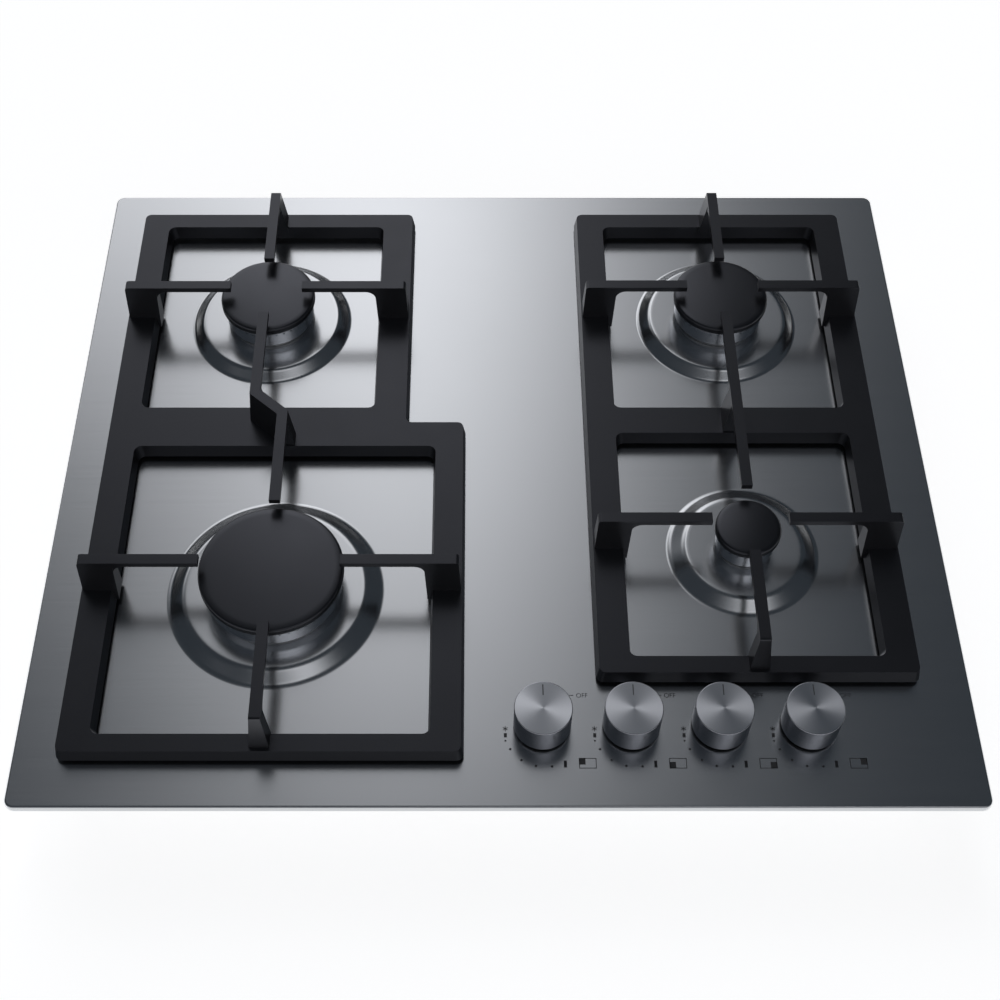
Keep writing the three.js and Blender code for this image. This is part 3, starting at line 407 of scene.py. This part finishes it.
STEEL = brushed_steel("brushed_steel", color=0.62, rough=0.22, aniso=0.38, lines=900.0)
SPUN = spun_metal("spun_knob_metal", color=0.74, rough=0.29, aniso=0.92, twist=0.11)
# The knob's side: the top's turned metal, with a darker colour that is painted shade for an upright
# side.
SHADED_KNOB_SIDE = spun_metal("knob_side_painted_shade", color=0.45, rough=0.28, aniso=0.5, blue=1.08)
HEAD_METAL = spun_metal("machined_head_metal", color=0.76, rough=0.22, aniso=0.4)
CAST = cast_metal("die_cast_aluminium", color=0.5, rough=0.45)
IRON = enamelled_iron("enamelled_cast_iron", color=0.02, rough=0.3, sheen=0.57, grain=1400.0,
                      depth=0.00006)
CAP_COAT = enamelled_iron("matt_cap_enamel", color=0.008, rough=0.3, sheen=0.85, grain=2200.0,
                          depth=0.00002)
RUBBER = plain_plastic("black_rubber", color=0.02, rough=0.75)
PLASTIC = plain_plastic("black_plastic", color=0.03, rough=0.5)
ZINC = galvanised("galvanised_sheet")
BRASS = coloured_metal("turned_brass", color=(0.6, 0.44, 0.2), rough=0.3)
CERAMIC = glazed_plug("glazed_ceramic")
PRINT = printed("printed_marks", color=0.045)
PALE_PRINT = printed("printed_word", color=0.11)
POINTER = printed("pointer_paint", color=0.1)


# ---- Panel ----


def rise(u):
    """The height of the pressed slope, 0 at its foot to 1 at the seat: straight in the middle,
    with a soft bend at each end."""
    u = min(max(u, 0.0), 1.0)
    steep = 1 / (1 - PRESS_BEND)
    if u < PRESS_BEND:
        return steep * u * u / (2 * PRESS_BEND)
    if u > 1 - PRESS_BEND:
        return 1 - steep * (1 - u) * (1 - u) / (2 * PRESS_BEND)
    return steep * (u - PRESS_BEND / 2)


def build_panel():
    """The sheet, with its knob holes, its turned-down edge and the pressed seats."""
    bm = bmesh.new()
    outline = rounded_rect(PANEL_X - RIM_ROUND, PANEL_Y - RIM_ROUND, PANEL_CORNER - RIM_ROUND)
    loops = [outline]
    for b in BURNERS:
        loops.append(circle(BURNER_AT[b].x, BURNER_AT[b].y, SEAT_FOOT_R[b], SIDES))
    for b in BURNERS:
        loops.append(circle(KNOB_AT[b].x, KNOB_AT[b].y, KNOB_HOLE, 32))
    edges = []
    made = []
    for loop in loops:
        verts = [bm.verts.new((x, y, PANEL_TOP)) for x, y in loop]
        edges += [bm.edges.new((a, b)) for a, b in zip(verts, verts[1:] + verts[:1])]
        made.append(verts)
    bmesh.ops.triangle_fill(bm, use_beauty=True, use_dissolve=False, edges=edges,
                            normal=(0, 0, 1))
    # the turned-down edge
    last = made[0]
    for inset, z in arc(RIM_ROUND, PANEL_TOP - RIM_ROUND, RIM_ROUND, 90, 180, 6)[1:] + [
            (0.0, PANEL_LOW.z)]:
        points = rounded_rect(PANEL_X - inset, PANEL_Y - inset, PANEL_CORNER - inset)
        ring = [bm.verts.new((x, y, z)) for x, y in points]
        for i in range(len(ring)):
            j = (i + 1) % len(ring)
            bm.faces.new((last[j], last[i], ring[i], ring[j]))
        last = ring
    # the pressed seats
    steps = 22
    for index, b in enumerate(BURNERS):
        inner = made[1 + index]
        x, y = BURNER_AT[b].x, BURNER_AT[b].y
        flank = SEAT_FOOT_R[b] - SEAT_R[b]
        radii = [SEAT_R[b] + flank * (1 - k / steps) for k in range(1, steps + 1)]
        radii += [SEAT_R[b] - SEAT_BORDER, CAP_R[b] - CUP_IN_CAP + GAP]
        for r in radii:
            z = PANEL_TOP + PRESS_HEIGHT * rise((SEAT_FOOT_R[b] - r) / flank)
            ring = [bm.verts.new((px, py, z)) for px, py in circle(x, y, r, SIDES)]
            for i in range(SIDES):
                j = (i + 1) % SIDES
                bm.faces.new((inner[i], inner[j], ring[j], ring[i]))
            inner = ring
    bmesh.ops.recalc_face_normals(bm, faces=bm.faces)
    if sum(f.normal.z for f in bm.faces) < 0:
        bmesh.ops.reverse_faces(bm, faces=bm.faces)
    brush = bm.loops.layers.uv.new("brush")
    for face in bm.faces:
        for loop in face.loops:
            loop[brush].uv = (loop.vert.co.y, loop.vert.co.x)
    piece = add_piece("pressed_panel", bm, STEEL, "chassis", smooth=50, sharp=edges)
    thick = piece.modifiers.new("sheet", "SOLIDIFY")
    thick.thickness = PANEL_SHEET
    thick.offset = -1
    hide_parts("top_panel")


build_panel()


# ---- Burners ----


def build_cap(b):
    low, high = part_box("burner_cap_" + b)
    foot = low.z + CAP_SKIRT
    edge = foot + CAP_SIDE
    r = CAP_R[b]
    skirt = r - HEAD_IN_CAP - HEAD_WALL - GAP
    inside = skirt - CAP_SKIRT_WALL
    profile = [(0, foot), (inside, foot), (inside, low.z), (skirt, low.z), (skirt, foot),
               (r - CAP_FOOT_ROUND, foot), (r, foot + CAP_FOOT_ROUND), (r, edge)]
    profile += arc(r - CAP_ROUND, edge, CAP_ROUND, 15, 80, 5)
    shoulder = edge + CAP_ROUND
    steps = 12
    for k in range(1, steps + 1):
        t = 1 - k / steps
        profile.append(((r - CAP_ROUND) * t, shoulder + (high.z - shoulder) * (1 - t * t)))
    piece = add_piece("cap_" + b, turned(profile, BURNER_AT[b], 96), CAP_COAT, "cap_" + b)
    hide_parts("burner_cap_" + b)


def build_head(b):
    """The flame spreader, with a ring of narrow ports under its rim."""
    low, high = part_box("burner_head_" + b)
    r = CAP_R[b] - HEAD_IN_CAP
    rim = CAP_R[b] - RIM_IN_CAP
    inner = r - HEAD_WALL
    throat = THROAT_R + THROAT_WALL
    foot = low.z + THROAT_LENGTH
    floor = foot + HEAD_FLOOR
    top = high.z
    rim_foot = top - PORT_HIGH + 0.2 * MM
    profile = [(THROAT_R, low.z), (throat, low.z), (throat, foot), (inner, foot),
               (inner + HEAD_ROUND, foot + 0.3 * MM), (r - HEAD_ROUND, floor),
               (r, floor + HEAD_ROUND), (r, top - PORT_LOW), (r, top - PORT_HIGH),
               (rim - 0.3 * MM, rim_foot), (rim, rim_foot + 0.3 * MM), (rim, top - HEAD_ROUND),
               (rim - HEAD_ROUND, top), (inner + 0.3 * MM, top), (inner, top - 0.3 * MM),
               (inner, floor), (THROAT_R, floor)]
    sides = PORT_COUNT[b] * PORT_PITCH
    bm = turned(profile + profile[:1], BURNER_AT[b], sides)
    bmesh.ops.remove_doubles(bm, verts=bm.verts, dist=1e-6)
    bm.normal_update()
    slots = []
    for face in bm.faces:
        centre = face.calc_center_median()
        if not top - PORT_LOW < centre.z < top - PORT_HIGH:
            continue
        out = centre - BURNER_AT[b]
        if math.hypot(out.x, out.y) < r - HEAD_WALL / 2:
            continue
        turn = int((math.atan2(out.y, out.x) % (2 * math.pi)) / (2 * math.pi) * sides)
        if turn % PORT_PITCH == 1:
            slots.append(face)
    for face in bmesh.ops.extrude_discrete_faces(bm, faces=slots)["faces"]:
        inward = BURNER_AT[b] - face.calc_center_median()
        inward.z = 0
        bmesh.ops.translate(bm, verts=face.verts, vec=inward.normalized() * PORT_DEPTH)
    piece = add_piece("head_" + b, bm, HEAD_METAL, "head_" + b, smooth=30)
    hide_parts("burner_head_" + b)


for b in BURNERS:
    build_cap(b)
    build_head(b)


# ---- Knobs ----


def build_knob(b):
    """The turned side with painted shade, the plastic inside and the top disc with its pointer
    groove.
    """
    low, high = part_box("knob_" + b)
    centre = KNOB_AT[b]
    top, foot = high.z, low.z
    inside, ceiling, boss = KNOB_R - KNOB_WALL, top - KNOB_CEILING, foot + KNOB_BOSS_LIFT
    profile = [(inside, foot), (KNOB_R - 0.5 * MM, foot), (KNOB_R, foot + 0.5 * MM)]
    profile += arc(KNOB_R - KNOB_ROUND, top - KNOB_ROUND, KNOB_ROUND, 0, 90, 5)
    side = turned(profile, centre, SIDES)
    under = turned([(inside, foot), (inside, ceiling), (KNOB_BOSS_R, ceiling), (KNOB_BOSS_R, boss),
                    (STEM_HOLE_R, boss), (STEM_HOLE_R, top - STEM_HOLE_TOP),
                    (0, top - STEM_HOLE_TOP)], centre, 64)
    piece = add_piece("knob_side_" + b, side, SHADED_KNOB_SIDE, "knob_" + b, smooth=25)
    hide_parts("knob_" + b)
    add_piece("knob_inside_" + b, under, PLASTIC, "knob_" + b)
    disc = bmesh.new()
    near, far = KNOB_R - GROOVE_IN[0], KNOB_R - GROOVE_IN[1]
    groove = [(-GROOVE_HALF, near), (GROOVE_HALF, near), (GROOVE_HALF, far), (-GROOVE_HALF, far)]
    rim = [disc.verts.new((x, y, top))
           for x, y in circle(centre.x, centre.y, KNOB_R - KNOB_ROUND, SIDES)]
    hole = [disc.verts.new((centre.x + x, centre.y + y, top)) for x, y in groove]
    edges = [disc.edges.new(pair) for pair in zip(rim, rim[1:] + rim[:1])]
    edges += [disc.edges.new(pair) for pair in zip(hole, hole[1:] + hole[:1])]
    bmesh.ops.triangle_fill(disc, use_beauty=True, edges=edges, normal=(0, 0, 1))
    deep = [disc.verts.new((v.co.x, v.co.y, top - GROOVE_DEEP)) for v in hole]
    for i in range(4):
        j = (i + 1) % 4
        disc.faces.new((hole[j], hole[i], deep[i], deep[j])).material_index = 1
    disc.faces.new(deep).material_index = 1
    bmesh.ops.recalc_face_normals(disc, faces=disc.faces)
    disc_piece = add_piece("knob_top_" + b, disc, SPUN, "knob_" + b, smooth=20)
    disc_piece.data.materials.append(POINTER)


for b in BURNERS:
    build_knob(b)


# ---- Pan supports ----


def build_support(side):
    """The casting with its edges rounded as enamel rounds them."""
    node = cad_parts[side + "_pan_support"]
    bm = bmesh.new()
    bm.from_mesh(node.data)
    bmesh.ops.remove_doubles(bm, verts=bm.verts, dist=2e-6)
    bmesh.ops.dissolve_limit(bm, angle_limit=math.radians(0.6), verts=bm.verts, edges=bm.edges,
                             use_dissolve_boundaries=False)
    bm.normal_update()
    piece = add_piece("cast_" + side + "_support", bm, IRON, side + "_support", smooth=30)
    bevel = piece.modifiers.new("rounded_edges", "BEVEL")
    bevel.width = 1.1 * MM
    bevel.segments = 3
    bevel.limit_method = "ANGLE"
    bevel.angle_limit = math.radians(28)
    bevel.use_clamp_overlap = True
    even = piece.modifiers.new("flat_faces", "WEIGHTED_NORMAL")
    even.mode = "FACE_AREA"
    even.weight = 100
    even.keep_sharp = True
    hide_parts(side + "_pan_support")


for side in ("left", "right"):
    build_support(side)


# ---- Materials of the CAD nodes that stay ----


def dress(prefix, material):
    for name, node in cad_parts.items():
        if name.startswith(prefix):
            node.data.materials.clear()
            node.data.materials.append(material)


for prefix, material in {
    "panel_seal": RUBBER,
    "bottom_tray": ZINC,
    "burner_cup": CAST,
    "gas_jet": BRASS,
    "spark_plug": CERAMIC,
    "left_support_foot": RUBBER,
    "right_support_foot": RUBBER,
    "valve_stem": CAST,
    "press_collar": PLASTIC,
    "gas_valve": BRASS,
    "gas_pipe": CAST,
    "gas_rail": ZINC,
    "gas_inlet_union": BRASS,
    "spark_box": PLASTIC,
    "worktop_clamp": ZINC,
}.items():
    dress(prefix, material)


# ---- Printed marks ----

PRINT_LIFT = 0.04 * MM
PRINT_THICK = 0.03 * MM
# Places from a knob's middle and sizes, in millimetres on the panel
FLAME_DOTS = ((-19.4, -15.7), (-12.8, -22.7), (-4.3, -26.5), (5.3, -26.8))
FLAME_DOT_R = 0.75
LOW_FLAME = (12.4, 14.2, -27.5, -23.1)
SPARK_AT = (-22.2, -3.8)
SPARK_RAY = (1.7, 0.45)  # half its length, and its width
SPARK_STAR_LIFT = 1.5
SPARK_STEM = (-0.9, 0.9, -4.2, -1.4)
SPARK_DOT = (-6.4, 0.6)  # its place under the star, and its radius
OFF_DASH = (17.0, 19.6, 19.75, 20.25)
OFF_WORD = (21.1, 18.6)
OFF_SIZE = 4.1
PLAN = (21.4, 31.8, -28.1, -21.4)
PLAN_LINE = 0.45
PLAN_SPOT = (3.9, 4.2)
PLAN_CORNER = {"back_left": (-1, 1), "front_left": (-1, -1), "front_right": (1, -1),
               "back_right": (1, 1)}


def flat_shape(name, loops, ink=PRINT):
    """A thin printed shape from closed outlines, in millimetres on the panel. An outline inside
    another is a hole."""
    bm = bmesh.new()
    edges = []
    for loop in loops:
        verts = [bm.verts.new((x * MM, y * MM, PANEL_TOP + PRINT_LIFT)) for x, y in loop]
        edges += [bm.edges.new(pair) for pair in zip(verts, verts[1:] + verts[:1])]
    bmesh.ops.triangle_fill(bm, use_beauty=True, edges=edges, normal=(0, 0, 1))
    bmesh.ops.recalc_face_normals(bm, faces=bm.faces)
    piece = add_piece(name, bm, ink, "chassis")
    thick = piece.modifiers.new("ink", "SOLIDIFY")
    thick.thickness = PRINT_THICK


def rect(x0, x1, y0, y1):
    return [(x0, y0), (x1, y0), (x1, y1), (x0, y1)]


def moved(place, x, y):
    """The sides of a rectangle, moved by x and y."""
    return place[0] + x, place[1] + x, place[2] + y, place[3] + y


def stroke(x0, y0, x1, y1, width):
    """The outline of a straight line of the given width."""
    dx, dy = x1 - x0, y1 - y0
    length = math.hypot(dx, dy)
    nx, ny = -dy / length * width / 2, dx / length * width / 2
    return [(x0 - nx, y0 - ny), (x1 - nx, y1 - ny), (x1 + nx, y1 + ny), (x0 + nx, y0 + ny)]


def build_word(b, x, y):
    """The word OFF, turned from letters into a mesh."""
    word = bpy.data.curves.new("off_word_" + b, "FONT")
    word.body = "OFF"
    word.size = OFF_SIZE * MM
    word.extrude = PRINT_THICK / 2
    text = bpy.data.objects.new("off_word_" + b, word)
    bpy.context.scene.collection.objects.link(text)
    text.location = (x * MM, y * MM, PANEL_TOP + PRINT_LIFT)
    bpy.context.view_layer.update()
    seen = text.evaluated_get(bpy.context.evaluated_depsgraph_get())
    mesh = bpy.data.meshes.new_from_object(seen)
    mesh.transform(text.matrix_world)
    bpy.data.objects.remove(text)
    mesh.materials.clear()
    mesh.materials.append(PALE_PRINT)
    piece = bpy.data.objects.new("off_word_" + b, mesh)
    bpy.context.scene.collection.objects.link(piece)
    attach(piece, "chassis")


def build_plan(b, cx, cy):
    """Which burner the knob is for: a plan of the cooktop with one corner filled."""
    x0, x1, y0, y1 = moved(PLAN, cx, cy)
    inner = rect(x0 + PLAN_LINE, x1 - PLAN_LINE, y0 + PLAN_LINE, y1 - PLAN_LINE)
    flat_shape("plan_frame_" + b, [rect(x0, x1, y0, y1), inner])
    right, back = PLAN_CORNER[b]
    px = x0 if right < 0 else x1 - PLAN_SPOT[0]
    py = y0 if back < 0 else y1 - PLAN_SPOT[1]
    flat_shape("plan_spot_" + b, [rect(px, px + PLAN_SPOT[0], py, py + PLAN_SPOT[1])])


def build_marks(b):
    """The marks round one knob."""
    cx, cy = KNOB_AT[b].x / MM, KNOB_AT[b].y / MM
    for k, (dx, dy) in enumerate(FLAME_DOTS):
        flat_shape(f"flame_dot_{k}_{b}", [circle(cx + dx, cy + dy, FLAME_DOT_R, 16)])
    flat_shape("low_flame_bar_" + b, [rect(*moved(LOW_FLAME, cx, cy))])
    # the spark mark: a small star on a stem, and a dot under it
    sx, sy = cx + SPARK_AT[0], cy + SPARK_AT[1]
    star_y = sy + SPARK_STAR_LIFT
    half, width = SPARK_RAY
    for k, angle in enumerate((90, 30, 150)):
        a = math.radians(angle)
        dx, dy = half * math.cos(a), half * math.sin(a)
        ray = stroke(sx - dx, star_y - dy, sx + dx, star_y + dy, width)
        flat_shape(f"spark_ray_{k}_{b}", [ray])
    flat_shape("spark_stem_" + b, [rect(*moved(SPARK_STEM, sx, sy))])
    flat_shape("spark_dot_" + b, [circle(sx, sy + SPARK_DOT[0], SPARK_DOT[1], 12)])
    flat_shape("off_dash_" + b, [rect(*moved(OFF_DASH, cx, cy))], ink=PALE_PRINT)
    build_word(b, cx + OFF_WORD[0], cy + OFF_WORD[1])
    build_plan(b, cx, cy)


for b in BURNERS:
    build_marks(b)


# ---- Studio ----

FLOOR_DROP = 0.4 * MM  # keeps the floor clear of the tray's underside
FLOOR_GLOW = 0.84  # what the floor adds to its own colour where it is seen

# The lights, as places on a ceiling one unit above the panel: across, to the right, then back
SCREEN_LINE = -0.141  # the wide screen is brightest along this line across
SCREEN_FALL_RIGHT = 0.294
SCREEN_FALL_LEFT = 1.151
SCREEN_START = 0.905  # it begins this far back
SCREEN_START_SOFT = 0.08
SCREEN_STRENGTH = 1.176
OVER_AT = (-0.067, 0.785)
OVER_SIZE = (0.171, 0.378)
OVER_LEAN = 0.026  # how much it leans across for each unit back
OVER_STRENGTH = 0.992
FRONT_AT = (0.3, -0.63)
FRONT_SIZE = (0.42, 0.145)
FRONT_STRENGTH = 1.15
# The dim band low in front, by the parts of a direction: how level it is, and how far back
BAND_LEVEL = (0.76, 0.88)
BAND_FRONT = (-0.35, -0.6)
BAND_STRENGTH = 0.3
ROOM_STRENGTH = 0.043
HORIZON = (0.1, 0.02)  # heights at which metal starts to see the white, and sees only that

CAMERA_AT = (-11.6 * MM, -592.8 * MM, PANEL_TOP + 824.3 * MM)
CAMERA_TILT = 34.2
CAMERA_LENS = 53.93
CAMERA_SHIFT = 0.0214


def build_floor():
    """A white floor just under the object: it takes the object's shadow, and its colour alone keeps
    it white. It is clear when seen from below."""
    bm = bmesh.new()
    bmesh.ops.create_grid(bm, x_segments=1, y_segments=1, size=12.0)
    mesh = bpy.data.meshes.new("floor")
    bm.to_mesh(mesh)
    bm.free()
    material, n = new_material("white_floor")
    ray = n.node("LightPath")
    seen = n.math("MAXIMUM", ray.outputs["Is Camera Ray"], ray.outputs["Is Glossy Ray"])
    seen = n.math("MAXIMUM", seen, ray.outputs["Is Transmission Ray"])
    matt = n.node("BsdfDiffuse", {"Color": (0.8, 0.8, 0.8, 1.0)})
    glow = n.math("MULTIPLY", seen, FLOOR_GLOW)
    white = n.node("Emission", {"Color": (1, 1, 1, 1), "Strength": glow})
    both = n.node("AddShader", {0: matt.outputs[0], 1: white.outputs[0]})
    clear = n.node("BsdfTransparent")
    side = n.node("MixShader", {0: n.node("NewGeometry").outputs["Backfacing"],
                                1: both.outputs[0], 2: clear.outputs[0]})
    n.node("OutputMaterial", {"Surface": side.outputs[0]})
    mesh.materials.append(material)
    floor = bpy.data.objects.new("floor", mesh)
    floor.location.z = CAD_BOX[0].z - FLOOR_DROP
    bpy.context.scene.collection.objects.link(floor)


def build_world():
    """A soft studio: a wide bright screen behind and to the left, a smaller light over the back,
    one over the front, and a dim band low in front. The background is white, and metal shows it
    along the horizon."""
    world = bpy.data.worlds.new("studio")
    bpy.context.scene.world = world
    world.use_nodes = True
    n = Nodes(world.node_tree)
    way = n.node("SeparateXYZ", {"Vector": n.node("TexCoord").outputs["Generated"]})
    up = n.math("MAXIMUM", way.outputs[2], 0.05)

    def ceiling(value):
        place = n.math("DIVIDE", value, up)
        return n.math("MAXIMUM", n.math("MINIMUM", place, 6.0), -6.0)

    def off(value, centre, width):
        return n.math("DIVIDE", n.math("SUBTRACT", value, centre), width)

    def fall(total):
        return n.math("EXPONENT", n.math("MULTIPLY", total, -1.0))

    def power(value, exponent):
        return n.math("POWER", n.math("MAXIMUM", value, 0.0), exponent)

    def square(value):
        return n.math("MULTIPLY", value, value)

    def spot(x, y, at, size):
        return fall(n.math("ADD", square(off(x, at[0], size[0])), square(off(y, at[1], size[1]))))

    def add(light, part, strength):
        return n.math("ADD", light, n.math("MULTIPLY", part, strength))

    across = ceiling(way.outputs[0])
    back = ceiling(way.outputs[1])
    to_right = power(off(across, SCREEN_LINE, SCREEN_FALL_RIGHT), 2.0)
    to_left = power(off(across, SCREEN_LINE, -SCREEN_FALL_LEFT), 4.0)
    start = fall(off(back, SCREEN_START, SCREEN_START_SOFT))
    start = n.math("DIVIDE", 1.0, n.math("ADD", start, 1.0))
    screen = n.math("MULTIPLY", fall(n.math("ADD", to_right, to_left)), start)
    lean = n.math("MULTIPLY", n.math("SUBTRACT", back, OVER_AT[1]), OVER_LEAN)
    over = spot(n.math("ADD", across, lean), back, OVER_AT, OVER_SIZE)
    front = spot(across, back, FRONT_AT, FRONT_SIZE)
    level = n.math("SQRT", n.math("SUBTRACT", 1.0, square(way.outputs[2])))
    band = n.math("MULTIPLY", n.between(level, *BAND_LEVEL, 0.0, 1.0),
                  n.between(way.outputs[1], *BAND_FRONT, 0.0, 1.0))
    light = add(n.math("MULTIPLY", screen, SCREEN_STRENGTH), over, OVER_STRENGTH)
    light = add(add(light, front, FRONT_STRENGTH), band, BAND_STRENGTH)
    lamps = n.node("Background", {"Color": (1.0, 1.0, 1.025, 1.0), "Strength": light})
    room = n.node("Background", {"Color": (0.83, 1.0, 1.2, 1.0), "Strength": ROOM_STRENGTH})
    studio = n.node("AddShader", {0: lamps.outputs[0], 1: room.outputs[0]})
    white = n.node("Background", {"Color": (1, 1, 1, 1), "Strength": 1.0})
    ray = n.node("LightPath")
    horizon = n.between(way.outputs[2], *HORIZON, 0.0, 1.0)
    seen = n.math("MULTIPLY", ray.outputs["Is Glossy Ray"], horizon)
    seen = n.math("MAXIMUM", seen, ray.outputs["Is Camera Ray"])
    seen = n.math("MAXIMUM", seen, ray.outputs["Is Transmission Ray"])
    both = n.node("MixShader", {0: seen, 1: studio.outputs[0], 2: white.outputs[0]})
    n.node("OutputWorld", {"Surface": both.outputs[0]})


def build_camera():
    data = bpy.data.cameras.new("camera")
    data.lens = CAMERA_LENS
    data.sensor_width = 36.0
    data.shift_x = CAMERA_SHIFT
    data.clip_start = 0.01
    camera = bpy.data.objects.new("camera", data)
    bpy.context.scene.collection.objects.link(camera)
    camera.location = CAMERA_AT
    camera.rotation_euler = (math.radians(CAMERA_TILT), 0, 0)
    bpy.context.scene.camera = camera


build_floor()
build_world()
build_camera()
bpy.context.scene.view_settings.view_transform = "Standard"
